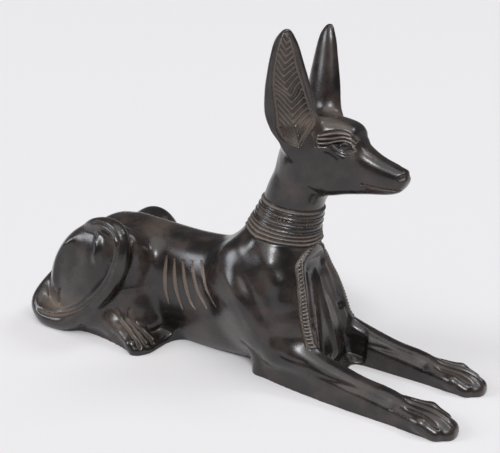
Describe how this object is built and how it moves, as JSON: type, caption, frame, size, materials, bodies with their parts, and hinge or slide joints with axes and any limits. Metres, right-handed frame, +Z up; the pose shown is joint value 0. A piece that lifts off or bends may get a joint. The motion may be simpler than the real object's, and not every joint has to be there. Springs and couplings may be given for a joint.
{
  "type": "reclining jackal statuette",
  "caption": "Cast statuette of a lying jackal with tall pointed ears, a banded collar, a chest scarf and a tail wrapped round one thigh.",
  "frame": {"origin": "middle of the footprint, on the surface the statuette stands on", "axes": "+X from the tail to the paws, +Y to the jackal's left, +Z up"},
  "size_m": [0.2886, 0.1096, 0.1978],
  "materials": {
    "cast_resin": "black-brown stone-filled cast resin, rubbed to a soft shine, with a tan-brown wash left in the recesses"
  },
  "bodies": {
    "root": {"jackal": "cast_resin"}
  },
  "joints": []
}
